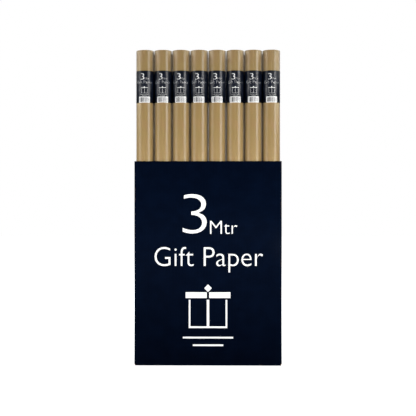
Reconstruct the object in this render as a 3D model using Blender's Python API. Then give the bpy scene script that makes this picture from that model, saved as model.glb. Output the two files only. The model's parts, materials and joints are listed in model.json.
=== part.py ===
"""Display box of 24 wrapping paper rolls, 8 across and 3 deep. Metres, +Z up.

The origin is on the floor, under the middle of the box. The printed front faces -Y. Each roll stands on the
base pad and lifts straight up out of the box.
"""

import math

import bmesh
import bpy
from mathutils import Matrix, Vector

# Driving dimensions.
GAP = 0.0003  # kept between pieces that touch
BOARD = 0.0016  # thickness of the corrugated board
BOX_HEIGHT = 0.457
GLUE_FLAP_WIDTH = 0.035
GLUE_FLAP_TAPER = 0.012  # how much each end of the glue flap slopes in
INNER_FLAP_REACH = 0.060  # how far an inner bottom flap reaches in from its side panel

ROLLS_ACROSS = 8
ROLLS_DEEP = 3
ROLL_LENGTH = 0.700  # the width of the sheet
CORE_BORE_RADIUS = 0.0161
CORE_WALL = 0.0012
PAPER_BUILD_UP = 0.0017  # 3 m of thin kraft paper, wound on the core
SKIN = 0.00015  # the label and the film
LABEL_HEIGHT = 0.0715
LABEL_DROP = 0.0462  # from the top of the paper down to the label
FILM_MOUTH_RADIUS = 0.0170  # the hole left in the film over each end
SEGMENTS = 24  # flat sides round each roll

# A roll's radii, from the inside out.
CORE_RADIUS = CORE_BORE_RADIUS + CORE_WALL
PAPER_INNER_RADIUS = CORE_RADIUS + GAP
PAPER_RADIUS = PAPER_INNER_RADIUS + PAPER_BUILD_UP
LABEL_INNER_RADIUS = PAPER_RADIUS + GAP
LABEL_RADIUS = LABEL_INNER_RADIUS + SKIN
FILM_INNER_RADIUS = LABEL_RADIUS + GAP
FILM_RADIUS = FILM_INNER_RADIUS + SKIN
PITCH = 2 * FILM_RADIUS + GAP

# The box. Its inside holds the rolls, with the glue flap's thickness to spare at the back.
INSIDE_WIDTH = ROLLS_ACROSS * PITCH + 2 * GAP
INSIDE_DEPTH = ROLLS_DEEP * PITCH + 2 * GAP + BOARD + GAP
RIGHT = INSIDE_WIDTH / 2 + BOARD
BACK = INSIDE_DEPTH / 2 + BOARD
INSIDE_RIGHT = INSIDE_WIDTH / 2
INSIDE_BACK = INSIDE_DEPTH / 2

# The layers of the bottom, from the floor up.
INNER_FLAP_BASE = BOARD + GAP
PAD_BASE = INNER_FLAP_BASE + BOARD + GAP
ROLL_BASE = PAD_BASE + BOARD + GAP
PAPER_BASE = ROLL_BASE + SKIN + GAP
PAPER_TOP = PAPER_BASE + ROLL_LENGTH
ROLL_TOP = PAPER_TOP + GAP + SKIN
LABEL_TOP = PAPER_TOP - LABEL_DROP

FRONT_ROW_Y = -INSIDE_BACK + GAP + PITCH / 2


def clear_scene():
    for old in list(bpy.data.objects):
        bpy.data.objects.remove(old, do_unlink=True)


def material(name, colour, roughness, coat=0.0):
    made = bpy.data.materials.new(name)
    made.use_nodes = True
    shader = made.node_tree.nodes["Principled BSDF"]
    shader.inputs["Base Color"].default_value = (*colour, 1.0)
    shader.inputs["Roughness"].default_value = roughness
    shader.inputs["Metallic"].default_value = 0.0
    shader.inputs["Coat Weight"].default_value = coat
    return made


def add_object(name, mesh, surface):
    mesh.materials.clear()
    mesh.materials.append(surface)
    made = bpy.data.objects.new(name, mesh)
    bpy.context.scene.collection.objects.link(made)
    return made


def mesh_of(name, shape):
    mesh = bpy.data.meshes.new(name)
    shape.to_mesh(mesh)
    shape.free()
    return mesh


def add_sheet(name, low, high, surface):
    """A flat sheet of board between two opposite corners, each (x, y, z)."""
    low = Vector(low)
    high = Vector(high)
    size = high - low
    shape = bmesh.new()
    bmesh.ops.create_cube(shape, size=1.0)
    bmesh.ops.scale(shape, vec=size, verts=shape.verts)
    made = add_object(name, mesh_of(name, shape), surface)
    made.location = (low + high) / 2
    return made


def turned(name, profile):
    """A closed outline of (radius, height) points, turned round the Z axis."""
    shape = bmesh.new()
    corners = [shape.verts.new((radius, 0.0, height)) for radius, height in profile]
    for start, end in zip(corners, corners[1:] + corners[:1]):
        shape.edges.new((start, end))
    bmesh.ops.spin(
        shape,
        geom=shape.verts[:] + shape.edges[:],
        cent=(0.0, 0.0, 0.0),
        axis=(0.0, 0.0, 1.0),
        angle=2 * math.pi,
        steps=SEGMENTS,
        use_merge=True,
    )
    bmesh.ops.recalc_face_normals(shape, faces=shape.faces)
    mesh = mesh_of(name, shape)
    mesh.shade_smooth()
    mesh.set_sharp_from_angle(angle=math.radians(40))
    return mesh


def tube(name, inner, outer, base, top):
    return turned(name, [(inner, base), (outer, base), (outer, top), (inner, top)])


def film_mesh():
    """A thin tube over the whole roll, whose two ends turn in as flat rings."""
    profile = [
        (FILM_MOUTH_RADIUS, 0.0),
        (FILM_RADIUS, 0.0),
        (FILM_RADIUS, ROLL_TOP - ROLL_BASE),
        (FILM_MOUTH_RADIUS, ROLL_TOP - ROLL_BASE),
        (FILM_MOUTH_RADIUS, ROLL_TOP - ROLL_BASE - SKIN),
        (FILM_INNER_RADIUS, ROLL_TOP - ROLL_BASE - SKIN),
        (FILM_INNER_RADIUS, SKIN),
        (FILM_MOUTH_RADIUS, SKIN),
    ]
    return turned("film", profile)


def build_panels(printed):
    """The four walls. The front and back cover the edges of the sides, as the folded blank does."""
    side_front = -INSIDE_BACK + GAP
    side_back = INSIDE_BACK - GAP
    add_sheet("front_panel", (-RIGHT, -BACK, 0.0), (RIGHT, -INSIDE_BACK, BOX_HEIGHT), printed)
    add_sheet("back_panel", (-RIGHT, INSIDE_BACK, 0.0), (RIGHT, BACK, BOX_HEIGHT), printed)
    add_sheet("left_panel", (-RIGHT, side_front, 0.0), (-INSIDE_RIGHT, side_back, BOX_HEIGHT), printed)
    add_sheet("right_panel", (INSIDE_RIGHT, side_front, 0.0), (RIGHT, side_back, BOX_HEIGHT), printed)


def build_glue_flap(board):
    """The tab from the left panel's back edge, on the inside of the back panel, with its ends tapered."""
    fold = -INSIDE_RIGHT + GAP
    free_edge = fold + GLUE_FLAP_WIDTH
    outer_face = INSIDE_BACK - GAP
    bottom = ROLL_BASE
    outline = [
        (fold, bottom),
        (free_edge, bottom + GLUE_FLAP_TAPER),
        (free_edge, BOX_HEIGHT - GLUE_FLAP_TAPER),
        (fold, BOX_HEIGHT),
    ]
    shape = bmesh.new()
    face = shape.faces.new([shape.verts.new((x, outer_face, z)) for x, z in outline])
    grown = bmesh.ops.extrude_face_region(shape, geom=[face])
    moved = [item for item in grown["geom"] if isinstance(item, bmesh.types.BMVert)]
    bmesh.ops.translate(shape, vec=(0.0, -BOARD, 0.0), verts=moved)
    bmesh.ops.recalc_face_normals(shape, faces=shape.faces)
    add_object("glue_flap", mesh_of("glue_flap", shape), board)


def build_bottom(printed, board):
    """Two outer flaps that meet in the middle, two inner flaps on them, and a loose pad on top."""
    edge_x = INSIDE_RIGHT - GAP
    front = -INSIDE_BACK + GAP
    back = INSIDE_BACK - GAP
    pad_back = back - BOARD - GAP
    seam = GAP / 2
    add_sheet("bottom_flap_front", (-edge_x, front, 0.0), (edge_x, -seam, BOARD), printed)
    add_sheet("bottom_flap_back", (-edge_x, seam, 0.0), (edge_x, back, BOARD), printed)

    inner_top = INNER_FLAP_BASE + BOARD
    reach = edge_x - INNER_FLAP_REACH
    add_sheet("bottom_flap_left", (-edge_x, front, INNER_FLAP_BASE), (-reach, pad_back, inner_top), board)
    add_sheet("bottom_flap_right", (reach, front, INNER_FLAP_BASE), (edge_x, pad_back, inner_top), board)
    add_sheet("base_pad", (-edge_x, front, PAD_BASE), (edge_x, pad_back, PAD_BASE + BOARD), board)


def roll_place(index):
    """The foot of a roll's axis. The rolls count from the left, the front row first."""
    row, column = divmod(index, ROLLS_ACROSS)
    x = (column - (ROLLS_ACROSS - 1) / 2) * PITCH
    return Vector((x, FRONT_ROW_Y + row * PITCH, ROLL_BASE))


def build_rolls(core_board, kraft, label_print, clear_film):
    """The front row has all four pieces of each roll. A roll behind it is one tube with the same outside and bore."""
    paper_low = PAPER_BASE - ROLL_BASE
    paper_high = PAPER_TOP - ROLL_BASE
    label_high = LABEL_TOP - ROLL_BASE
    label_low = label_high - LABEL_HEIGHT
    pieces = [
        ("core", tube("core", CORE_BORE_RADIUS, CORE_RADIUS, paper_low, paper_high), core_board),
        ("paper", tube("paper", PAPER_INNER_RADIUS, PAPER_RADIUS, paper_low, paper_high), kraft),
        ("label", tube("label", LABEL_INNER_RADIUS, LABEL_RADIUS, label_low, label_high), label_print),
        ("film", film_mesh(), clear_film),
    ]
    whole = tube("whole_roll", CORE_BORE_RADIUS, FILM_RADIUS, 0.0, ROLL_TOP - ROLL_BASE)

    for index in range(ROLLS_ACROSS * ROLLS_DEEP):
        axis = bpy.data.objects.new(f"roll_{index + 1:02d}", None)
        axis.location = roll_place(index)
        bpy.context.scene.collection.objects.link(axis)
        if index < ROLLS_ACROSS:
            made = [add_object(f"{axis.name}_{piece}", mesh, surface) for piece, mesh, surface in pieces]
        else:
            made = [add_object(f"{axis.name}_whole", whole, kraft)]
        for each in made:
            each.parent = axis
            each.matrix_parent_inverse = Matrix.Identity(4)


def main():
    clear_scene()
    printed = material("navy_printed_board", (0.0012, 0.0036, 0.0123), 0.45)
    board = material("kraft_board", (0.42, 0.28, 0.15), 0.85)
    core_board = material("core_board", (0.40, 0.33, 0.25), 0.9)
    kraft = material("kraft_paper", (0.44, 0.30, 0.14), 0.55, coat=0.5)
    label_print = material("navy_label", (0.0012, 0.0036, 0.0123), 0.4)
    clear_film = material("clear_film", (0.80, 0.80, 0.80), 0.1, coat=1.0)
    build_panels(printed)
    build_glue_flap(board)
    build_bottom(printed, board)
    build_rolls(core_board, kraft, label_print, clear_film)


main()
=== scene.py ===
"""The looks of a printed display box packed with rolls of kraft wrapping paper. Metres, +Z up, front to -Y.

The box is folded from one corrugated blank: an outer liner, a fluted sheet and an inner liner. Each roll is a
card core, a sheet of kraft paper wound on it, a printed label band and a clear film shrunk over them. Most
pieces start as a flat sheet, which is then folded or rolled into place as the real one is.
"""

import json
import math
import random

import bmesh
import bpy
from mathutils import Matrix, Vector

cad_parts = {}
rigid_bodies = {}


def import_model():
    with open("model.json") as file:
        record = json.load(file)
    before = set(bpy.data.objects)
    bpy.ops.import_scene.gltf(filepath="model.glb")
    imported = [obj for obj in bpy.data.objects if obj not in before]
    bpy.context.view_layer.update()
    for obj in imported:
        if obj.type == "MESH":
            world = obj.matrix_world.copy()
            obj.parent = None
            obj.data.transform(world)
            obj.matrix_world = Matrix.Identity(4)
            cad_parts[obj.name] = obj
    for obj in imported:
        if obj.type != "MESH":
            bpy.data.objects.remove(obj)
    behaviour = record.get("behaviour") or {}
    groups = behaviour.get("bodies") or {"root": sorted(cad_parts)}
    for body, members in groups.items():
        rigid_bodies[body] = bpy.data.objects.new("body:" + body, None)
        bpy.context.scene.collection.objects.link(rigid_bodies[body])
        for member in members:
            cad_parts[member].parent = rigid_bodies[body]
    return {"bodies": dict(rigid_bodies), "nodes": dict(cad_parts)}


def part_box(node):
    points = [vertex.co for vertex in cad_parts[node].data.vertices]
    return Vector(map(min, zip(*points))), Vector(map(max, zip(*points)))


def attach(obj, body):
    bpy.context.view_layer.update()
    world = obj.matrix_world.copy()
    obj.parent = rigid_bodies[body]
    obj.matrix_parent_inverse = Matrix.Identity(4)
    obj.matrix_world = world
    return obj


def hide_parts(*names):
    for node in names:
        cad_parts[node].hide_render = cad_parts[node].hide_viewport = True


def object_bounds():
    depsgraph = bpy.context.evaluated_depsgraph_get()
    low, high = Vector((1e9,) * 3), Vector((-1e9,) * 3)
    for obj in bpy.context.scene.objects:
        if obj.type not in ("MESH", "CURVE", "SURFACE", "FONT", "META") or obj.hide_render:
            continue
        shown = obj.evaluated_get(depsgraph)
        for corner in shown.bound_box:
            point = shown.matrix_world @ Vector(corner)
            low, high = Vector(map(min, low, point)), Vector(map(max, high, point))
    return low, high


MM = 0.001
QUARTER_TURN = math.pi / 2
FULL_TURN = 2 * math.pi

# Corrugated board.
LINER = 0.25 * MM  # thickness of each liner
FLUTE_PAPER = 0.2 * MM
FLUTE_PITCH = 3.3 * MM
STEPS_PER_FLUTE = 6
OUTER_FOLD_RADIUS = 2.2 * MM
FOLD_STEPS = 6
FOLD_CLEARANCE = 0.1 * MM
NEAR_BEND = 1.5 * MM  # how close to a bend a straight stretch gets an extra line of points
GLUE_FLAP_TAPER = 12 * MM
CRUSHED = 0.35  # of the flutes' height is left at a fold
CRUSHED_REACH = 3 * MM
BOX_BODY = "display_box"

# A roll, from its axis out. Each radius is the middle of its sheet where the piece is a sheet.
CORE_BORE = 16.1 * MM
CORE_OUTSIDE = 17.3 * MM
CORE_PLIES = 3
CORE_SPIRAL = 0.62  # how far the tube's seam climbs for each unit round it
WOUND_INSIDE = 17.35 * MM
WOUND_OUTSIDE = 19.58 * MM
WOUND_LAYERS = 11
OUTER_TURN_RADIUS = 19.62 * MM
OUTER_TURN_LAP = 1.05  # of a turn
OUTER_TURN_START = 0.36  # of a turn to the left of the front
RIB_PITCH = 1.5 * MM
LABEL_RADIUS = 19.80 * MM
LABEL_LAP = 1.06  # of a turn
PRINT_RADIUS = 19.94 * MM
FILM_ON_PAPER = 19.97 * MM
FILM_ON_LABEL = 20.08 * MM
FILM_MOUTH = 16.7 * MM
SEAL_HEIGHT = 0.22 * MM  # how far the welded seam down the film stands out
SEAL_HALF_WIDTH = 0.7 * MM
PAPER_SHEET = 0.07 * MM
LABEL_SHEET = 0.06 * MM
FILM_SHEET = 0.03 * MM
FILM_MIRRORED = 0.006  # of the light that falls on it head on
FILM_EDGE_MIRRORED = 0.25  # and at a glancing angle, more
ROLLS_ACROSS = 8
ROUND_STEPS = 64  # flat sides round a roll's outer pieces
INNER_STEPS = 48  # and round those inside it
END_GAP = 0.45 * MM  # from the film's ends to the paper's

INK = 0.05 * MM
FONT_CAP_HEIGHT = 0.682  # of the letters, in a font of size 1
BOX_WORDS_FOOT = 0.4862  # of the box's height
LABEL_WORDS_FOOT = 42.7 * MM  # above the label's foot
LABEL_SCALE = 0.155  # of its design, to the box's

# Inks, papers and film, as linear colours.
NAVY = (0.0009, 0.0029, 0.0098)
WHITE = (0.86, 0.86, 0.85)
KRAFT = (0.268, 0.180, 0.066)
KRAFT_PATCH = (0.285, 0.176, 0.075)
BLACK = (0.012, 0.012, 0.016)
KRAFT_LINER = (0.30, 0.195, 0.105)
CORE_GREY = (0.27, 0.22, 0.165)


# ---------------------------------------------------------------- shader building


def add_node(tree, kind, inputs=None, **settings):
    """A new node, with its settings and with inputs given as values or as sockets to link from."""
    node = tree.nodes.new(kind)
    for name, value in settings.items():
        setattr(node, name, value)
    for name, value in (inputs or {}).items():
        if isinstance(value, bpy.types.NodeSocket):
            tree.links.new(value, node.inputs[name])
        else:
            node.inputs[name].default_value = value
    return node


def maths(tree, operation, first, second=0.0):
    return add_node(tree, "ShaderNodeMath", {0: first, 1: second}, operation=operation).outputs[0]


def ramp_between(tree, value, low, high, at_low=0.0, at_high=1.0):
    """Smoothly from at_low to at_high as value goes from low to high."""
    inputs = {"Value": value, "From Min": low, "From Max": high, "To Min": at_low, "To Max": at_high}
    return add_node(tree, "ShaderNodeMapRange", inputs, interpolation_type="SMOOTHSTEP").outputs["Result"]


def tinted(tree, amount, colour, other):
    """colour where amount is 0, other where it is 1. Each is a colour or a socket."""
    node = add_node(tree, "ShaderNodeMix", data_type="RGBA")
    for index, value in ((0, amount), (6, colour), (7, other)):
        if isinstance(value, bpy.types.NodeSocket):
            tree.links.new(value, node.inputs[index])
        else:
            node.inputs[index].default_value = (*value, 1.0) if index else value
    return node.outputs[2]


def shade(colour, factor):
    return tuple(channel * factor for channel in colour)


def mottled(tree, amount, colour, darker, lighter):
    """colour times darker where amount is 0, and times lighter where it is 1."""
    return tinted(tree, amount, shade(colour, darker), shade(colour, lighter))


def new_group(name, inputs, outputs):
    """An empty shader group with its input and output nodes. inputs and outputs are name to socket type."""
    group = bpy.data.node_groups.new(name, "ShaderNodeTree")
    for socket, kind in inputs.items():
        group.interface.new_socket(socket, in_out="INPUT", socket_type=kind)
    for socket, kind in outputs.items():
        group.interface.new_socket(socket, in_out="OUTPUT", socket_type=kind)
    return group, group.nodes.new("NodeGroupInput"), group.nodes.new("NodeGroupOutput")


def paper_grain_group():
    """Paper fibres lying one way, cloudy patches in the pulp, and the height of the surface."""
    group, given, result = new_group(
        "paper_grain",
        {"Vector": "NodeSocketVector", "Fibre Size": "NodeSocketFloat", "Cloud Size": "NodeSocketFloat"},
        {"Fibres": "NodeSocketFloat", "Clouds": "NodeSocketFloat", "Height": "NodeSocketFloat"},
    )
    place = given.outputs["Vector"]
    along = add_node(group, "ShaderNodeMapping", {"Vector": place, "Scale": (0.22, 1.0, 1.0)}).outputs[0]
    fine = maths(group, "DIVIDE", 1.0, given.outputs["Fibre Size"])
    broad = maths(group, "DIVIDE", 1.0, given.outputs["Cloud Size"])
    inputs = {"Vector": along, "Scale": fine, "Detail": 5.0, "Roughness": 0.62}
    fibres = add_node(group, "ShaderNodeTexNoise", inputs)
    clouds = add_node(group, "ShaderNodeTexNoise", {"Vector": place, "Scale": broad, "Detail": 3.0})
    height = maths(group, "ADD", fibres.outputs[0], maths(group, "MULTIPLY", clouds.outputs[0], 0.4))
    group.links.new(fibres.outputs[0], result.inputs["Fibres"])
    group.links.new(clouds.outputs[0], result.inputs["Clouds"])
    group.links.new(height, result.inputs["Height"])
    return group


def edge_rub_group():
    """A mask of the ink rubbed away in flecks, strongest where Gap, the distance to a fold or a cut, is 0."""
    group, given, result = new_group(
        "edge_rub",
        {"Vector": "NodeSocketVector", "Gap": "NodeSocketFloat", "Reach": "NodeSocketFloat"},
        {"Mask": "NodeSocketFloat"},
    )
    place = given.outputs["Vector"]
    inputs = {"Vector": place, "Scale": 900.0, "Detail": 4.0, "Roughness": 0.7}
    flecks = add_node(group, "ShaderNodeTexNoise", inputs).outputs[0]
    stretches = add_node(group, "ShaderNodeTexNoise", {"Vector": place, "Scale": 22.0}).outputs[0]
    worn = ramp_between(group, stretches, 0.42, 0.68, 0.12, 0.30)
    share = maths(group, "DIVIDE", given.outputs["Gap"], given.outputs["Reach"])
    near = ramp_between(group, share, 0.0, 1.0, 1.0, 0.0)
    rubbed = maths(group, "ADD", flecks, maths(group, "MULTIPLY", near, worn))
    group.links.new(ramp_between(group, rubbed, 0.80, 0.92), result.inputs["Mask"])
    return group


def new_material(name, colour, roughness, specular=0.5):
    """A material, its tree and its shader, with its constants on the shader's own sockets."""
    made = bpy.data.materials.new(name)
    made.use_nodes = True
    shader = made.node_tree.nodes["Principled BSDF"]
    shader.inputs["Base Color"].default_value = (*colour, 1.0)
    shader.inputs["Roughness"].default_value = roughness
    shader.inputs["Specular IOR Level"].default_value = specular
    return made, made.node_tree, shader


def own_place(tree):
    return add_node(tree, "ShaderNodeTexCoord").outputs["Object"]


def sheet_place(tree):
    """The place on the flat sheet, before it was folded or rolled, in metres."""
    return add_node(tree, "ShaderNodeUVMap", uv_map="flat").outputs[0]


def grain(tree, group, place, fibre_size, cloud_size):
    node = add_node(tree, "ShaderNodeGroup", node_tree=group)
    tree.links.new(place, node.inputs["Vector"])
    node.inputs["Fibre Size"].default_value = fibre_size
    node.inputs["Cloud Size"].default_value = cloud_size
    return node.outputs


def bump(tree, shader, height, strength, distance):
    made = add_node(tree, "ShaderNodeBump", {"Height": height, "Strength": strength, "Distance": distance})
    tree.links.new(made.outputs["Normal"], shader.inputs["Normal"])


def printed_board(groups, box_top):
    """Navy ink on the outer liner. The flutes show through faintly, and it is rubbed at folds and cuts."""
    made, tree, shader = new_material("navy_printed_liner", NAVY, 0.35, specular=0.015)
    place = sheet_place(tree)
    grains = grain(tree, groups["grain"], place, 0.5 * MM, 30 * MM)
    ink = mottled(tree, ramp_between(tree, grains["Clouds"], 0.35, 0.7), NAVY, 0.8, 1.05)
    fold_gap = add_node(tree, "ShaderNodeAttribute", attribute_name="fold_gap").outputs["Fac"]
    height = add_node(tree, "ShaderNodeSeparateXYZ", {"Vector": own_place(tree)}).outputs["Z"]
    gap = maths(tree, "MINIMUM", fold_gap, maths(tree, "SUBTRACT", box_top, height))
    rub = add_node(tree, "ShaderNodeGroup", node_tree=groups["rub"])
    tree.links.new(own_place(tree), rub.inputs["Vector"])
    tree.links.new(gap, rub.inputs["Gap"])
    rub.inputs["Reach"].default_value = 1.6 * MM
    across = add_node(tree, "ShaderNodeSeparateXYZ", {"Vector": place}).outputs["X"]
    flutes = maths(tree, "SINE", maths(tree, "MULTIPLY", across, FULL_TURN / FLUTE_PITCH))
    lined = tinted(tree, ramp_between(tree, flutes, 0.0, 1.0, 0.0, 0.3), ink, shade(NAVY, 1.9))
    colour = tinted(tree, rub.outputs["Mask"], lined, shade(KRAFT_LINER, 0.45))
    tree.links.new(colour, shader.inputs["Base Color"])
    tree.links.new(ramp_between(tree, grains["Fibres"], 0.3, 0.7, 0.32, 0.42), shader.inputs["Roughness"])
    surface = maths(tree, "ADD", maths(tree, "MULTIPLY", flutes, 0.5), grains["Height"])
    bump(tree, shader, surface, 0.12, 0.05 * MM)
    return made


def plain_board(name, groups, colour):
    """Unprinted brown liner, with fibres of darker and lighter tone and darker cloudy patches."""
    made, tree, shader = new_material(name, colour, 0.85, specular=0.3)
    grains = grain(tree, groups["grain"], sheet_place(tree), 0.7 * MM, 14 * MM)
    pulp = mottled(tree, ramp_between(tree, grains["Fibres"], 0.3, 0.7), colour, 0.8, 1.15)
    patches = tinted(tree, ramp_between(tree, grains["Clouds"], 0.62, 0.75), pulp, shade(colour, 0.88))
    tree.links.new(patches, shader.inputs["Base Color"])
    tree.links.new(ramp_between(tree, grains["Fibres"], 0.2, 0.8, 0.78, 0.92), shader.inputs["Roughness"])
    bump(tree, shader, grains["Height"], 0.4, 0.06 * MM)
    return made


def kraft_paper(groups):
    """Ribbed brown kraft: fibres round the roll, fine pressed lines along it and a slow drift of tone."""
    made, tree, shader = new_material("kraft_paper", KRAFT, 0.36, specular=1.0)
    shader.inputs["Specular Tint"].default_value = (1.0, 0.90, 0.58, 1.0)
    shader.inputs["IOR"].default_value = 1.65
    shader.inputs["Sheen Weight"].default_value = 0.35
    shader.inputs["Sheen Roughness"].default_value = 0.35
    shader.inputs["Sheen Tint"].default_value = (0.9, 0.88, 0.84, 1.0)
    place = sheet_place(tree)
    grains = grain(tree, groups["grain"], place, 0.45 * MM, 22 * MM)
    tone = mottled(tree, ramp_between(tree, grains["Fibres"], 0.32, 0.68), KRAFT, 0.88, 1.1)
    patched = tinted(tree, ramp_between(tree, grains["Clouds"], 0.35, 0.75), tone, KRAFT_PATCH)
    up = add_node(tree, "ShaderNodeSeparateXYZ", {"Vector": place}).outputs["Y"]
    wandering = maths(tree, "ADD", up, maths(tree, "MULTIPLY", grains["Clouds"], 0.8 * MM))
    ribs = maths(tree, "SINE", maths(tree, "MULTIPLY", wandering, FULL_TURN / RIB_PITCH))
    ribbed = tinted(tree, ramp_between(tree, ribs, -0.6, 1.0, 0.0, 0.2), patched, shade(KRAFT, 0.72))
    tree.links.new(ribbed, shader.inputs["Base Color"])
    tree.links.new(ramp_between(tree, grains["Fibres"], 0.3, 0.7, 0.30, 0.42), shader.inputs["Roughness"])
    surface = maths(tree, "ADD", maths(tree, "MULTIPLY", ribs, 0.6), grains["Height"])
    bump(tree, shader, surface, 0.2, 0.03 * MM)
    return made


def wound_edges(groups):
    """The cut edges of the wound sheet: paler and rougher than its face, in rings that differ a little."""
    made, tree, shader = new_material("wound_paper_edges", shade(KRAFT, 1.25), 0.9, specular=0.2)
    grains = grain(tree, groups["grain"], own_place(tree), 0.3 * MM, 5 * MM)
    ring = add_node(tree, "ShaderNodeAttribute", attribute_name="ring_tone").outputs["Fac"]
    tone = mottled(tree, ring, KRAFT, 0.95, 1.55)
    fibres = tinted(tree, ramp_between(tree, grains["Fibres"], 0.3, 0.7, 0.0, 0.5), tone, shade(KRAFT, 1.1))
    tree.links.new(fibres, shader.inputs["Base Color"])
    bump(tree, shader, grains["Height"], 0.5, 0.05 * MM)
    return made


def core_board(groups):
    """Grey-brown board wound in a spiral: a butted seam climbs the tube, between specks of recycled fibre."""
    made, tree, shader = new_material("core_board", CORE_GREY, 0.9, specular=0.2)
    place = sheet_place(tree)
    grains = grain(tree, groups["grain"], place, 0.8 * MM, 9 * MM)
    pulp = mottled(tree, ramp_between(tree, grains["Fibres"], 0.3, 0.7), CORE_GREY, 0.82, 1.15)
    specks = add_node(tree, "ShaderNodeTexVoronoi", {"Vector": place, "Scale": 420.0}).outputs["Distance"]
    flecked = tinted(tree, ramp_between(tree, specks, 0.06, 0.12, 0.5, 0.0), pulp, shade(CORE_GREY, 0.45))
    parts = add_node(tree, "ShaderNodeSeparateXYZ", {"Vector": place})
    girth = FULL_TURN * CORE_BORE
    risen = maths(tree, "MULTIPLY", parts.outputs["X"], CORE_SPIRAL)
    climb = maths(tree, "SUBTRACT", parts.outputs["Y"], risen)
    turns = maths(tree, "FRACT", maths(tree, "DIVIDE", climb, girth * CORE_SPIRAL))
    off_seam = maths(tree, "ABSOLUTE", maths(tree, "SUBTRACT", turns, 0.5))
    seam = ramp_between(tree, off_seam, 0.0, 0.012, 1.0, 0.0)
    tree.links.new(tinted(tree, seam, flecked, shade(CORE_GREY, 0.4)), shader.inputs["Base Color"])
    bump(tree, shader, maths(tree, "SUBTRACT", grains["Height"], seam), 0.5, 0.1 * MM)
    return made


def ink_on_label(groups, name, colour, roughness):
    """A smooth coated label paper under flat ink."""
    made, tree, shader = new_material(name, colour, roughness, specular=0.25)
    grains = grain(tree, groups["grain"], own_place(tree), 0.35 * MM, 12 * MM)
    tone = mottled(tree, ramp_between(tree, grains["Clouds"], 0.3, 0.7), colour, 0.94, 1.04)
    tree.links.new(tone, shader.inputs["Base Color"])
    spread = ramp_between(tree, grains["Fibres"], 0.3, 0.7, roughness - 0.05, roughness + 0.07)
    tree.links.new(spread, shader.inputs["Roughness"])
    bump(tree, shader, grains["Height"], 0.1, 0.02 * MM)
    return made


def clear_film():
    """Thin clear film: it shows what is behind it, and mirrors more the more it turns away."""
    made = bpy.data.materials.new("clear_shrink_film")
    made.use_nodes = True
    tree = made.node_tree
    tree.nodes.remove(tree.nodes["Principled BSDF"])
    place = own_place(tree)
    slow = add_node(tree, "ShaderNodeMapping", {"Vector": place, "Scale": (1.0, 1.0, 0.12)}).outputs[0]
    ripples = add_node(tree, "ShaderNodeTexNoise", {"Vector": slow, "Scale": 60.0, "Detail": 2.0}).outputs[0]
    surface = add_node(tree, "ShaderNodeBump", {"Height": ripples, "Strength": 0.15, "Distance": 0.3 * MM})
    gloss = add_node(tree, "ShaderNodeBsdfAnisotropic", {"Color": (1.0, 1.0, 1.0, 1.0), "Roughness": 0.2})
    tree.links.new(surface.outputs["Normal"], gloss.inputs["Normal"])
    clear = add_node(tree, "ShaderNodeBsdfTransparent")
    facing = add_node(tree, "ShaderNodeLayerWeight", {"Blend": 0.5}).outputs["Facing"]
    steep = maths(tree, "POWER", facing, 5.0)
    mirrored = maths(tree, "ADD", FILM_MIRRORED, maths(tree, "MULTIPLY", steep, FILM_EDGE_MIRRORED))
    mixed = add_node(tree, "ShaderNodeMixShader", {0: mirrored, 1: clear.outputs[0], 2: gloss.outputs[0]})
    tree.links.new(mixed.outputs[0], tree.nodes["Material Output"].inputs["Surface"])
    return made


def all_materials(box_top):
    groups = {"grain": paper_grain_group(), "rub": edge_rub_group()}
    return {
        "printed": printed_board(groups, box_top),
        "liner": plain_board("kraft_liner", groups, KRAFT_LINER),
        "flutes": plain_board("fluting_paper", groups, shade(KRAFT_LINER, 0.8)),
        "kraft": kraft_paper(groups),
        "wound": wound_edges(groups),
        "core": core_board(groups),
        "label": ink_on_label(groups, "navy_label_paper", NAVY, 0.45),
        "white_ink": ink_on_label(groups, "white_ink", WHITE, 0.6),
        "bars": ink_on_label(groups, "black_bars", BLACK, 0.5),
        "film": clear_film(),
    }


# ---------------------------------------------------------------- sheets and turned shapes


def flat_sheet(columns, rows):
    """A flat upright sheet facing -Y, with a line of points at each place in columns along it and rows up it.

    Its UV map "flat" keeps every point's place on the flat sheet, in metres.
    """
    shape = bmesh.new()
    across = len(columns) - 1
    up = len(rows) - 1
    bmesh.ops.create_grid(shape, x_segments=across, y_segments=up, size=0.5)
    for vert in shape.verts:
        column = round((vert.co.x + 0.5) * across)
        row = round((vert.co.y + 0.5) * up)
        vert.co = (columns[column], 0.0, rows[row])
    layer = shape.loops.layers.uv.new("flat")
    for face in shape.faces:
        for loop in face.loops:
            loop[layer].uv = (loop.vert.co.x, loop.vert.co.z)
    return shape


def evenly(start, end, steps):
    return [start + (end - start) * step / steps for step in range(steps + 1)]


def turned(profile, steps, closed=True):
    """An outline of (radius, height), turned round the Z axis. Its flat UV map is unrolled from it."""
    shape = bmesh.new()
    corners = [shape.verts.new((0.0, -radius, height)) for radius, height in profile]
    ends = corners[1:] + corners[:1] if closed else corners[1:]
    for start, end in zip(corners, ends):
        shape.edges.new((start, end))
    everything = shape.verts[:] + shape.edges[:]
    bmesh.ops.spin(
        shape,
        geom=everything,
        cent=(0.0, 0.0, 0.0),
        axis=(0.0, 0.0, 1.0),
        angle=FULL_TURN,
        steps=steps,
        use_merge=True,
    )
    bmesh.ops.recalc_face_normals(shape, faces=shape.faces)
    layer = shape.loops.layers.uv.new("flat")
    for face in shape.faces:
        middle = face.calc_center_median()
        facing = math.atan2(middle.x, -middle.y)
        for loop in face.loops:
            point = loop.vert.co
            turn = math.atan2(point.x, -point.y)
            turn += FULL_TURN * round((facing - turn) / FULL_TURN)
            loop[layer].uv = (turn * CORE_OUTSIDE, point.z + math.hypot(point.x, point.y))
    return shape


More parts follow.
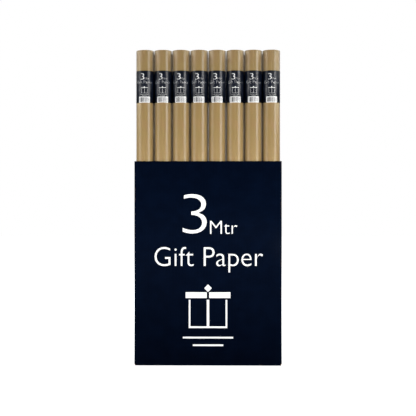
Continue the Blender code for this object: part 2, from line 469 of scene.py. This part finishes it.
def finish_piece(name, shape, materials, body, replaced=(), wall=None, offset=0.0, smooth=35.0):
    """Makes the shape a piece that rides on body. wall, where given, is the thickness that its sheet gets."""
    mesh = bpy.data.meshes.new(name)
    shape.to_mesh(mesh)
    shape.free()
    for each in materials:
        mesh.materials.append(each)
    mesh.shade_smooth()
    mesh.set_sharp_from_angle(angle=math.radians(smooth))
    piece = bpy.data.objects.new(name, mesh)
    bpy.context.scene.collection.objects.link(piece)
    if wall is not None:
        thickness = piece.modifiers.new("wall", "SOLIDIFY")
        thickness.thickness = wall
        thickness.offset = offset
    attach(piece, body)
    if replaced:
        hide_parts(*replaced)
    return piece


# ---------------------------------------------------------------- the box


def walk(start, heading, runs, distance):
    """The point reached, and the unit normal on its right, after going distance along runs.

    Each run is (length, turn), where turn is how far it bends to the left on the way, in radians.
    """
    point = Vector(start)
    for length, turn in runs:
        part = min(distance, length)
        if turn:
            radius = length / turn
            bent = part / radius
            left = Vector((-math.sin(heading), math.cos(heading)))
            heading_after = heading + bent
            left_after = Vector((-math.sin(heading_after), math.cos(heading_after)))
            point = point + radius * (left - left_after)
            heading = heading_after
        else:
            point = point + part * Vector((math.cos(heading), math.sin(heading)))
        distance -= part
        if distance <= 0:
            break
    return point, Vector((math.sin(heading), -math.cos(heading)))


def run_columns(runs):
    """Places along the runs: several round each bend, and close to both ends of each straight."""
    places = [0.0]
    done = 0.0
    for length, turn in runs:
        if turn:
            places += evenly(done, done + length, FOLD_STEPS)[1:]
        else:
            middle = done + length / 2
            places += [done + NEAR_BEND, middle, done + length - NEAR_BEND, done + length]
        done += length
    return places


def flute_columns(start, end):
    return evenly(start, end, round((end - start) / FLUTE_PITCH * STEPS_PER_FLUTE))


def flute_wave(place):
    return math.sin(FULL_TURN * place / FLUTE_PITCH)


class Carton:
    """The box's sizes, read from the frame."""

    def __init__(self):
        front_low, front_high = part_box("front_panel")
        self.left = front_low.x
        self.right = front_high.x
        self.front = front_low.y
        self.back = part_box("back_panel")[1].y
        self.top = front_high.z
        self.board = front_high.y - front_low.y
        self.flap_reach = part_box("bottom_flap_front")[1].y - self.front
        self.inner_flap_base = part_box("bottom_flap_left")[0].z
        self.inner_flap_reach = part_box("bottom_flap_left")[1].x - self.left
        glue_low, glue_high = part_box("glue_flap")
        self.glue_reach = glue_high.x - self.left
        self.glue_bottom = glue_low.z
        self.neutral_radius = OUTER_FOLD_RADIUS - self.board / 2
        self.fold_length = self.neutral_radius * QUARTER_TURN


def layer_depths(board):
    """How far each layer's middle lies outside the board's middle: outer liner, flute crest, inner liner."""
    liner = board / 2 - LINER / 2
    crest = board / 2 - LINER - FLUTE_PAPER / 2
    return liner, crest, -liner


def wall_runs(carton):
    """The blank's runs, from the glue flap's free edge round to the back panel's raw edge."""
    fold = (carton.fold_length, QUARTER_TURN)
    inset = OUTER_FOLD_RADIUS
    width = carton.right - carton.left
    depth = carton.back - carton.front
    side_to_flap = depth - carton.board - FOLD_CLEARANCE - 2 * inset
    return [
        (carton.glue_reach - inset, 0.0),
        fold,
        (side_to_flap, 0.0),
        fold,
        (width - 2 * inset, 0.0),
        fold,
        (depth - 2 * inset, 0.0),
        fold,
        (width - inset, 0.0),
    ]


def fold_places(runs):
    """Where along the runs the middle of each fold is."""
    places = []
    done = 0.0
    for length, turn in runs:
        if turn:
            places.append(done + length / 2)
        done += length
    return places


def wall_span(carton, runs, along):
    """The lowest and highest point of the blank at a place along it. The glue flap's ends slope."""
    folds = fold_places(runs)
    glue_length = runs[0][0]
    side_bottom = carton.inner_flap_base + OUTER_FOLD_RADIUS
    if along < glue_length:
        slope = GLUE_FLAP_TAPER * (1 - along / glue_length)
        return carton.glue_bottom + slope, carton.top - slope
    clear = carton.fold_length / 2 + FOLD_CLEARANCE
    on_front = folds[1] + clear < along < folds[2] - clear
    on_back = along > folds[3] + clear
    return (OUTER_FOLD_RADIUS if on_front or on_back else side_bottom), carton.top


def wall_layer(carton, columns, depth_at):
    """One layer of the four walls: a flat sheet, folded round the rolls."""
    runs = wall_runs(carton)
    start = (carton.left + carton.glue_reach, carton.back - carton.board * 1.5 - FOLD_CLEARANCE)
    folds = fold_places(runs)
    spots = {}
    for along in columns:
        point, outward = walk(start, math.pi, runs, along)
        gap = min(abs(along - fold) for fold in folds)
        spots[round(along, 7)] = (point, outward, gap, wall_span(carton, runs, along))
    shape = flat_sheet(columns, [0.0, 1.0])
    gaps = shape.verts.layers.float.new("fold_gap")
    layer = shape.loops.layers.uv["flat"]
    for vert in shape.verts:
        point, outward, gap, (low, high) = spots[round_like(spots, vert.co.x)]
        height = low + (high - low) * vert.co.z
        place = point + outward * depth_at(vert.co.x, gap)
        vert[gaps] = max(0.0, gap - carton.fold_length / 2)
        for loop in vert.link_loops:
            loop[layer].uv = (vert.co.x, height)
        vert.co = (place.x, place.y, height)
    return shape


def round_like(spots, value):
    """The key nearest value, because a mesh keeps its points in single precision."""
    key = round(value, 7)
    if key in spots:
        return key
    return min(spots, key=lambda known: abs(known - value))


def build_walls(carton, materials):
    """The walls and glue flap: outer liner, flutes and inner liner."""
    runs = wall_runs(carton)
    length = sum(run[0] for run in runs)
    outer, crest, inner = layer_depths(carton.board)

    def flute(along, gap):
        crushed = min(1.0, CRUSHED + gap / CRUSHED_REACH)
        return crest * crushed * flute_wave(along)

    panels = ("front_panel", "back_panel", "left_panel", "right_panel", "glue_flap")
    columns = run_columns(runs)
    shape = wall_layer(carton, columns, lambda along, gap: outer)
    finish_piece("wall_outer_liner", shape, [materials["printed"]], BOX_BODY, panels, LINER)
    shape = wall_layer(carton, columns, lambda along, gap: inner)
    finish_piece("wall_inner_liner", shape, [materials["liner"]], BOX_BODY, (), LINER)
    shape = wall_layer(carton, flute_columns(0.0, length), flute)
    finish_piece("wall_flutes", shape, [materials["flutes"]], BOX_BODY, (), FLUTE_PAPER)


def flap_layer(start, inward, runs, columns, rows, depth_at):
    """One layer of a bottom flap: it hangs from a wall's foot and folds in under the box.

    columns go down the wall and on under the box, rows go across the flap.
    """
    shape = flat_sheet(columns, rows)
    across = Vector((inward.y, -inward.x, 0.0))
    for vert in shape.verts:
        point, outward = walk((0.0, 0.0), -QUARTER_TURN, runs, vert.co.x)
        flat = point + outward * depth_at(vert.co.x, vert.co.z)
        vert.co = start + inward * flat.x + across * vert.co.z + Vector((0.0, 0.0, flat.y))
    return shape


def build_flap(name, carton, materials, foot, inward, width, reach, base, printed):
    """foot is the middle of the wall's outer face, at floor level."""
    depth_in = carton.board / 2
    start = foot + inward * depth_in + Vector((0.0, 0.0, base + OUTER_FOLD_RADIUS))
    runs = [(carton.fold_length, QUARTER_TURN), (reach - OUTER_FOLD_RADIUS, 0.0)]
    length = sum(run[0] for run in runs)
    outer, crest, inner = layer_depths(carton.board)
    half = width / 2
    columns = evenly(0.0, carton.fold_length, FOLD_STEPS) + [length]
    sides = [-half, half]
    face = materials["printed"] if printed else materials["liner"]

    def flute(along, sideways):
        return crest * flute_wave(sideways)

    shape = flap_layer(start, inward, runs, columns, sides, lambda along, sideways: outer)
    finish_piece(f"{name}_outer_liner", shape, [face], BOX_BODY, (name,), LINER)
    shape = flap_layer(start, inward, runs, columns, sides, lambda along, sideways: inner)
    finish_piece(f"{name}_inner_liner", shape, [materials["liner"]], BOX_BODY, (), LINER)
    shape = flap_layer(start, inward, runs, columns, flute_columns(-half, half), flute)
    finish_piece(f"{name}_flutes", shape, [materials["flutes"]], BOX_BODY, (), FLUTE_PAPER)


def build_bottom(carton, materials):
    slot_gap = 1.2 * MM
    wide = carton.right - carton.left - 2 * slot_gap
    deep = carton.back - carton.front - 2 * slot_gap - carton.board * 2
    middle_y = (carton.front + carton.back) / 2
    flaps = [
        ("bottom_flap_front", (0.0, carton.front), (0.0, 1.0), wide, carton.flap_reach, 0.0, True),
        ("bottom_flap_back", (0.0, carton.back), (0.0, -1.0), wide, carton.flap_reach, 0.0, True),
        ("bottom_flap_left", (carton.left, middle_y), (1.0, 0.0), deep, carton.inner_flap_reach,
         carton.inner_flap_base, False),
        ("bottom_flap_right", (carton.right, middle_y), (-1.0, 0.0), deep, carton.inner_flap_reach,
         carton.inner_flap_base, False),
    ]
    for name, foot, inward, width, reach, base, printed in flaps:
        build_flap(
            name, carton, materials, Vector((*foot, 0.0)), Vector((*inward, 0.0)), width, reach, base, printed
        )


def build_pad(materials):
    """The loose pad under the rolls, its flutes running front to back."""
    low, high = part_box("base_pad")
    thick = high.z - low.z
    middle = (low.z + high.z) / 2
    outer, crest, inner = layer_depths(thick)
    for name, columns, depth_at in (
        ("base_pad_lower_liner", [low.x, high.x], lambda x: -outer),
        ("base_pad_upper_liner", [low.x, high.x], lambda x: outer),
        ("base_pad_flutes", flute_columns(low.x, high.x), lambda x: crest * flute_wave(x)),
    ):
        fluted = name.endswith("flutes")
        shape = flat_sheet(columns, [low.y, high.y])
        for vert in shape.verts:
            vert.co = (vert.co.x, vert.co.z, middle + depth_at(vert.co.x))
        paper = materials["flutes" if fluted else "liner"]
        replaced = ("base_pad",) if name.endswith("upper_liner") else ()
        wall = FLUTE_PAPER if fluted else LINER
        finish_piece(name, shape, [paper], BOX_BODY, replaced, wall)


# ---------------------------------------------------------------- the printed design


def lettering(text, left, right, base, cap_height, thinned):
    """Solid letters facing -Y, fitted between left and right, on base. thinned slims their strokes."""
    curve = bpy.data.curves.new("letters", "FONT")
    curve.body = text
    curve.offset = -thinned
    curve.resolution_u = 5
    curve.extrude = INK / 2
    letters = bpy.data.objects.new("letters", curve)
    bpy.context.scene.collection.objects.link(letters)
    bpy.context.view_layer.update()
    mesh = bpy.data.meshes.new_from_object(letters)
    bpy.data.objects.remove(letters)
    bpy.data.curves.remove(curve)
    shape = bmesh.new()
    shape.from_mesh(mesh)
    bpy.data.meshes.remove(mesh)
    bmesh.ops.remove_doubles(shape, verts=shape.verts, dist=1e-5)
    lowest = min(vert.co.x for vert in shape.verts)
    highest = max(vert.co.x for vert in shape.verts)
    stretch = (right - left) / (highest - lowest)
    rise = cap_height / FONT_CAP_HEIGHT
    for vert in shape.verts:
        vert.co = (left + (vert.co.x - lowest) * stretch, -vert.co.z, base + vert.co.y * rise)
    bmesh.ops.recalc_face_normals(shape, faces=shape.faces)
    return shape


def bar(left, right, low, high, steps=1):
    """A flat bar of ink facing -Y, with steps divisions along it so that it can bend."""
    shape = flat_sheet(evenly(left, right, steps), [low, high])
    grown = bmesh.ops.extrude_face_region(shape, geom=shape.faces[:])
    moved = [item for item in grown["geom"] if isinstance(item, bmesh.types.BMVert)]
    bmesh.ops.translate(shape, vec=(0.0, -INK, 0.0), verts=moved)
    bmesh.ops.translate(shape, vec=(0.0, INK / 2, 0.0), verts=shape.verts)
    bmesh.ops.recalc_face_normals(shape, faces=shape.faces)
    return shape


def join_into(target, shapes, material_index=0):
    """Adds the shapes to target, with that material, and frees them."""
    for shape in shapes:
        mesh = bpy.data.meshes.new("joined")
        shape.to_mesh(mesh)
        shape.free()
        before = set(target.faces)
        target.from_mesh(mesh)
        bpy.data.meshes.remove(mesh)
        for face in set(target.faces) - before:
            face.material_index = material_index


def design(scale, length_base, thinned, line, lid):
    """The white print: the sheet's length, what it is, and a plain parcel over two rules.

    The origin is at the words' foot. Sizes are the box's, in millimetres, times scale. length_base is the
    digit's foot. thinned slims the digit, the unit and the words. line is the width of the parcel's lines and
    of the rules, and lid is its lid's height.
    """
    def size(millimetres):
        return millimetres * MM * scale

    def block(left, right, low, high, steps=1):
        return bar(size(left), size(right), size(low), size(high), steps)

    digit, unit, words = thinned
    lid_edge, body_edge, ribbon = 50, 43, 0.75 * line
    lid_top, body_top, foot = -58, -75, -138
    lid_low = lid_top - lid
    upper_rule, lower_rule = -157.5, -174.5
    knot = block(-6, 6, -6, 6)
    bmesh.ops.rotate(knot, cent=(0, 0, 0), matrix=Matrix.Rotation(QUARTER_TURN / 2, 3, "Y"), verts=knot.verts)
    bmesh.ops.translate(knot, vec=(0.0, 0.0, size(lid_top + 9)), verts=knot.verts)
    return [
        lettering("3", size(-56.5), size(-2.8), size(length_base), size(90.4), digit),
        lettering("Mtr", size(4.6), size(65.6), size(length_base), size(30.2), unit),
        lettering("Gift Paper", size(-119.5), size(122.8), 0.0, size(43.2), words),
        block(-lid_edge, -ribbon, lid_low, lid_top, 4),
        block(ribbon, lid_edge, lid_low, lid_top, 4),
        block(-body_edge, -body_edge + line, foot, body_top),
        block(body_edge - line, body_edge, foot, body_top),
        block(-body_edge + line, body_edge - line, foot, foot + line, 6),
        block(-ribbon, ribbon, foot + line, body_top),
        block(-56, 56, upper_rule - line, upper_rule, 6),
        block(-34, 34, lower_rule - line, lower_rule, 6),
        knot,
    ]


def build_box_print(carton, materials):
    """The design on the front panel."""
    shape = bmesh.new()
    join_into(shape, design(1.0, 71.9, thinned=(0.018, 0.014, 0.013), line=3.7, lid=13))
    bmesh.ops.translate(shape, vec=(0.0, carton.front, carton.top * BOX_WORDS_FOOT), verts=shape.verts)
    finish_piece("front_print", shape, [materials["white_ink"]], BOX_BODY, smooth=30)


def label_print_shape(rng):
    """A label's print, flat, from the label's foot up: a white patch of bars, and the design above it."""
    shape = bmesh.new()
    printed = design(LABEL_SCALE, 56.0, thinned=(0.026, 0.036, 0.036), line=1.6, lid=5)
    for each in printed:
        bmesh.ops.translate(each, vec=(0.0, 0.0, LABEL_WORDS_FOOT), verts=each.verts)
    join_into(shape, printed)
    patch_half, patch_foot, patch_top = 12.8 * MM, 0.2 * MM, 13.2 * MM
    join_into(shape, [bar(-patch_half, patch_half, patch_foot, patch_top, 14)])
    bars_foot, bars_top, proud = 1.2 * MM, 12.2 * MM, 0.03 * MM
    bars = []
    place = -patch_half + 1.4 * MM
    while place < patch_half - 3.0 * MM:
        width = rng.choice((1.2, 2.0, 2.8)) * MM
        bars.append(bar(place, place + width, bars_foot, bars_top))
        place += width + rng.choice((0.5, 0.8)) * MM
    for each in bars:
        bmesh.ops.translate(each, vec=(0.0, -proud, 0.0), verts=each.verts)
    join_into(shape, bars, 1)
    return shape


# ---------------------------------------------------------------- the rolls


class Roll:
    """One roll's place, read from the frame."""

    def __init__(self, number, nodes, rng):
        self.name = f"roll_{number:02d}"
        self.detailed = f"{self.name}_film" in nodes
        low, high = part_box(f"{self.name}_film" if self.detailed else f"{self.name}_whole")
        self.middle = Vector(((low.x + high.x) / 2, (low.y + high.y) / 2, 0.0))
        self.low = low.z
        self.high = high.z
        self.paper_low = low.z + END_GAP
        self.paper_high = high.z - END_GAP
        self.turn = 0.0 if self.detailed else rng.uniform(-0.5, 0.5)
        seals = (0.0, QUARTER_TURN, -QUARTER_TURN)
        self.seal = seals[(number - 1) // ROLLS_ACROSS] - self.turn

    def replaced(self, piece):
        return (f"{self.name}_{piece}",) if self.detailed else (f"{self.name}_whole",)


def place_on_roll(shape, roll):
    """Turns and moves a shape that was made round the Z axis onto its roll."""
    bmesh.ops.rotate(shape, cent=(0, 0, 0), matrix=Matrix.Rotation(roll.turn, 3, "Z"), verts=shape.verts)
    bmesh.ops.translate(shape, vec=roll.middle, verts=shape.verts)


def roll_up(shape, radius, growth=0.0):
    """Rolls a flat sheet round the Z axis, its middle to the front. The radius grows by growth each turn."""
    for vert in shape.verts:
        turn = vert.co.x / radius
        reach = radius + growth * turn / FULL_TURN - vert.co.y
        vert.co = (reach * math.sin(turn), -reach * math.cos(turn), vert.co.z)


def build_core(roll, materials):
    """The tube, whose ends show the plies of board as shallow rings."""
    ply = (CORE_OUTSIDE - CORE_BORE) / CORE_PLIES
    groove, groove_depth = 0.05 * MM, 0.2 * MM
    top = [(CORE_OUTSIDE, roll.paper_high)]
    for step in range(1, CORE_PLIES):
        between = CORE_OUTSIDE - ply * step
        top += [
            (between + groove, roll.paper_high),
            (between, roll.paper_high - groove_depth),
            (between - groove, roll.paper_high),
        ]
    top.append((CORE_BORE, roll.paper_high))
    bottom = [(radius, roll.paper_low + roll.paper_high - height) for radius, height in reversed(top)]
    shape = turned(bottom + top, INNER_STEPS)
    place_on_roll(shape, roll)
    replaced = roll.replaced("core")
    finish_piece(
        f"{roll.name}_core_tube", shape, [materials["core"]], roll.name, replaced, smooth=25
    )


def build_wound_paper(roll, materials, rng):
    """The inner turns of the sheet, packed tight. Their edges at both ends are a little uneven."""
    layer = (WOUND_OUTSIDE - WOUND_INSIDE) / WOUND_LAYERS
    nick = 0.2 * MM

    def ragged_end(height, inward):
        outline = []
        for step in range(WOUND_LAYERS):
            outside = WOUND_OUTSIDE - layer * step
            level = height + inward * rng.uniform(0.0, 0.35) * MM
            outline += [(outside, level), (outside - layer * 0.7, level)]
            outline.append((outside - layer * 0.85, level + inward * nick))
        outline[-1] = (WOUND_INSIDE, outline[-2][1])
        return outline

    top = ragged_end(roll.paper_high, -1.0)
    bottom = ragged_end(roll.paper_low, 1.0)
    bottom.reverse()
    shape = turned(bottom + top, INNER_STEPS)
    tones = shape.verts.layers.float.new("ring_tone")
    for vert in shape.verts:
        ring = math.hypot(vert.co.x, vert.co.y) / layer
        vert[tones] = 0.5 + 0.5 * math.sin(ring * 2.1)
    place_on_roll(shape, roll)
    replaced = roll.replaced("paper")
    finish_piece(
        f"{roll.name}_wound_paper", shape, [materials["wound"]], roll.name, replaced, smooth=25
    )


def build_outer_turn(roll, materials):
    """The last turn of the sheet, which ends in a free edge down the back of the roll."""
    girth = FULL_TURN * OUTER_TURN_RADIUS
    start = -girth * OUTER_TURN_START
    columns = evenly(start, start + girth * OUTER_TURN_LAP, ROUND_STEPS)
    rows = [roll.paper_low, roll.paper_high]
    shape = flat_sheet(columns, rows)
    roll_up(shape, OUTER_TURN_RADIUS, PAPER_SHEET + 0.02 * MM)
    place_on_roll(shape, roll)
    finish_piece(
        f"{roll.name}_outer_turn", shape, [materials["kraft"]], roll.name, (), PAPER_SHEET
    )


def build_label(roll, materials, flat_print, low, high):
    """The band round the roll, lapped at the back, and its print."""
    girth = FULL_TURN * LABEL_RADIUS
    start = -girth * 0.5
    shape = flat_sheet(evenly(start, start + girth * LABEL_LAP, ROUND_STEPS), [low, high])
    roll_up(shape, LABEL_RADIUS, LABEL_SHEET + 0.01 * MM)
    place_on_roll(shape, roll)
    paper = [materials["label"]]
    replaced = roll.replaced("label")
    finish_piece(f"{roll.name}_label_band", shape, paper, roll.name, replaced, LABEL_SHEET)
    shape = flat_print.copy()
    bmesh.ops.translate(shape, vec=(0.0, 0.0, low), verts=shape.verts)
    roll_up(shape, PRINT_RADIUS)
    place_on_roll(shape, roll)
    inks = [materials["white_ink"], materials["bars"]]
    finish_piece(f"{roll.name}_label_print", shape, inks, roll.name, smooth=30)


def film_outline(roll, label_low, label_high):
    """The film from its lower mouth to its upper one, with extra points close to each bend."""
    ease = 1.2 * MM
    lip = [
        (FILM_MOUTH, 0.12 * MM),
        (FILM_ON_PAPER - 2.4 * MM, 0.06 * MM),
        (FILM_ON_PAPER - 1.2 * MM, 0.05 * MM),
        (FILM_ON_PAPER - 0.5 * MM, 0.14 * MM),
        (FILM_ON_PAPER - 0.12 * MM, 0.42 * MM),
        (FILM_ON_PAPER, 1.0 * MM),
        (FILM_ON_PAPER, 2.2 * MM),
    ]
    bottom = [(radius, roll.low + drop) for radius, drop in lip]
    top = [(radius, roll.high - drop) for radius, drop in reversed(lip)]
    waist = [
        (FILM_ON_PAPER, label_low - ease - NEAR_BEND),
        (FILM_ON_PAPER, label_low - ease),
        (FILM_ON_LABEL, label_low),
        (FILM_ON_LABEL, label_low + NEAR_BEND),
        (FILM_ON_LABEL, label_high - NEAR_BEND),
        (FILM_ON_LABEL, label_high),
        (FILM_ON_PAPER, label_high + ease),
        (FILM_ON_PAPER, label_high + ease + NEAR_BEND),
    ]
    return bottom + waist + top


def weld_seam(shape, towards):
    """Raises the seam where the film's two edges are welded, down the side that faces towards, in radians."""
    step = FULL_TURN / ROUND_STEPS
    nearest = round(towards / step) * step
    narrow = SEAL_HALF_WIDTH / FILM_ON_PAPER
    for vert in shape.verts:
        radius = math.hypot(vert.co.x, vert.co.y)
        turn = math.atan2(vert.co.x, -vert.co.y)
        away = (turn - nearest + math.pi) % FULL_TURN - math.pi
        if abs(away) > 1.5 * step:
            continue
        if abs(away) < 0.5 * step:
            turn = towards
            radius += SEAL_HEIGHT * min(1.0, max(0.0, (radius - FILM_MOUTH) / (FILM_ON_PAPER - FILM_MOUTH)))
        else:
            turn = towards + math.copysign(narrow, away)
        vert.co = (radius * math.sin(turn), -radius * math.cos(turn), vert.co.z)


def build_film(roll, materials, label_low, label_high, rng):
    """The shrunk film: close over paper and label, drawn in over both ends in small pleats."""
    shape = turned(film_outline(roll, label_low, label_high), ROUND_STEPS, closed=False)
    outward = sum(face.normal.dot(Vector((*face.calc_center_median().xy, 0.0))) for face in shape.faces)
    if outward < 0:
        bmesh.ops.reverse_faces(shape, faces=shape.faces)
    pleats = rng.randint(15, 19)
    lean = rng.uniform(0.0, FULL_TURN)
    pleat_height, mouth_wave = 0.06 * MM, 0.03
    middle = (roll.low + roll.high) / 2
    for vert in shape.verts:
        radius = math.hypot(vert.co.x, vert.co.y)
        drawn_in = max(0.0, (FILM_ON_PAPER - 1.0 * MM - radius) / (FILM_ON_PAPER - FILM_MOUTH))
        turn = math.atan2(vert.co.y, vert.co.x)
        ripple = (1.0 + math.sin(turn * pleats + lean)) * pleat_height * min(1.0, drawn_in * 3)
        mouth = 1.0 + mouth_wave * math.sin(turn * 3 + lean) * drawn_in
        inward = 1.0 if vert.co.z < middle else -1.0
        vert.co = (vert.co.x * mouth, vert.co.y * mouth, vert.co.z + inward * ripple)
    weld_seam(shape, roll.seal)
    place_on_roll(shape, roll)
    finish_piece(
        f"{roll.name}_clear_film",
        shape,
        [materials["film"]],
        roll.name,
        roll.replaced("film"),
        FILM_SHEET,
        offset=1.0,
    )


def build_rolls(frame, materials):
    """Every roll, the front row as the rows behind it."""
    rng = random.Random(24)
    count = sum(body.startswith("roll_") for body in frame["bodies"])
    label_low, label_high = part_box("roll_01_label")
    flat_print = label_print_shape(rng)
    for number in range(1, count + 1):
        roll = Roll(number, frame["nodes"], rng)
        build_core(roll, materials)
        build_wound_paper(roll, materials, rng)
        build_outer_turn(roll, materials)
        build_label(roll, materials, flat_print, label_low.z, label_high.z)
        build_film(roll, materials, label_low.z, label_high.z, rng)
    flat_print.free()


# ---------------------------------------------------------------- the studio


def aim(thing, target):
    direction = Vector(target) - thing.location
    thing.rotation_euler = direction.to_track_quat("-Z", "Y").to_euler()


def area_light(name, place, target, width, height, power):
    lamp = bpy.data.lights.new(name, "AREA")
    lamp.shape = "RECTANGLE"
    lamp.size = width
    lamp.size_y = height
    lamp.energy = power
    made = bpy.data.objects.new(name, lamp)
    made.location = place
    bpy.context.scene.collection.objects.link(made)
    aim(made, target)
    return made


def around(target, azimuth, elevation, distance):
    """A point at that distance. Azimuth 0 is in front and 90 to the right, both in degrees."""
    turn, lift = math.radians(azimuth), math.radians(elevation)
    return Vector((
        target[0] + distance * math.sin(turn) * math.cos(lift),
        target[1] - distance * math.cos(turn) * math.cos(lift),
        target[2] + distance * math.sin(lift),
    ))


def floor_material():
    """Matt white, under a painted glow that only the camera sees. Away from the object it fades to the white
    behind it.
    """
    made, tree, shader = new_material("pale_floor", (0.9, 0.9, 0.9), 0.8, specular=0.0)
    place = own_place(tree)
    speckle = add_node(tree, "ShaderNodeTexNoise", {"Vector": place, "Scale": 3.0}).outputs[0]
    tree.links.new(tinted(tree, speckle, (0.88, 0.88, 0.88), (0.92, 0.92, 0.92)), shader.inputs["Base Color"])
    # Painted glow for camera rays only: about half white near the object, full white 1.2 m away from it.
    away = add_node(tree, "ShaderNodeVectorMath", {0: place}, operation="LENGTH").outputs["Value"]
    glow = ramp_between(tree, away, 0.15, 1.2, 0.55, 1.0)
    seen = add_node(tree, "ShaderNodeLightPath").outputs["Is Camera Ray"]
    painted_glow = maths(tree, "MULTIPLY", glow, seen)
    tree.links.new(painted_glow, shader.inputs["Emission Color"])
    shader.inputs["Emission Strength"].default_value = 1.0
    return made


def build_floor():
    shape = bmesh.new()
    bmesh.ops.create_grid(shape, x_segments=8, y_segments=8, size=8.0)
    mesh = bpy.data.meshes.new("floor")
    shape.to_mesh(mesh)
    shape.free()
    floor = bpy.data.objects.new("floor", mesh)
    bpy.context.scene.collection.objects.link(floor)
    mesh.materials.append(floor_material())
    floor.visible_glossy = False


def build_world():
    """White behind the object, and a dim grey for what lights and mirrors in it."""
    world = bpy.data.worlds.new("studio")
    bpy.context.scene.world = world
    world.use_nodes = True
    tree = world.node_tree
    lit = tree.nodes["Background"]
    lit.inputs["Color"].default_value = (1.0, 1.0, 1.0, 1.0)
    lit.inputs["Strength"].default_value = 0.12
    seen = add_node(tree, "ShaderNodeBackground", {"Color": (1.0, 1.0, 1.0, 1.0), "Strength": 1.0})
    path = add_node(tree, "ShaderNodeLightPath")
    inputs = {0: path.outputs["Is Camera Ray"], 1: lit.outputs[0], 2: seen.outputs[0]}
    mixed = add_node(tree, "ShaderNodeMixShader", inputs)
    tree.links.new(mixed.outputs[0], tree.nodes["World Output"].inputs["Surface"])


def build_lights(middle):
    """A high key in front, a strip and a panel at the sides that the film mirrors, and fills behind."""
    key = area_light("key_front", around(middle, 0, 30, 3.4), middle, 2.2, 1.4, 50)
    key.visible_glossy = False
    low = area_light("fill_low", around(middle, 0, -3, 2.6), middle - Vector((0.0, 0.0, 0.2)), 1.2, 0.3, 7)
    low.visible_glossy = False
    area_light("strip_right", around(middle, 51, 13.7, 2.2), middle, 1.1, 0.6, 34)
    area_light("panel_left", around(middle, -66, 3, 2.2), middle, 1.3, 1.6, 38)
    back = area_light("fill_back", around(middle, 180, 50, 2.6), middle, 1.8, 1.2, 34)
    back.visible_glossy = False
    area_light("fill_right", around(middle, 115, 48, 2.6), middle, 1.2, 1.2, 10)
    area_light("fill_left", around(middle, -115, 48, 2.6), middle, 1.2, 1.2, 8)


def build_camera(carton, middle):
    """Straight on to the front, level with the middle of the display."""
    lens = bpy.data.cameras.new("camera")
    lens.sensor_width = 36.0
    lens.lens = 69.75
    camera = bpy.data.objects.new("camera", lens)
    distance, side_step = 1.8, 0.02
    level = middle.z - 1.0 * MM
    camera.location = (side_step, carton.front - distance, level)
    bpy.context.scene.collection.objects.link(camera)
    aim(camera, (0.0, carton.front, level))
    bpy.context.scene.camera = camera


def main():
    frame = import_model()
    cad_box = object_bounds()
    middle = (cad_box[0] + cad_box[1]) / 2
    carton = Carton()
    materials = all_materials(carton.top)
    build_walls(carton, materials)
    build_bottom(carton, materials)
    build_pad(materials)
    build_box_print(carton, materials)
    build_rolls(frame, materials)
    build_floor()
    build_world()
    build_lights(middle)
    build_camera(carton, middle)
    bpy.context.scene.view_settings.view_transform = "Standard"


main()
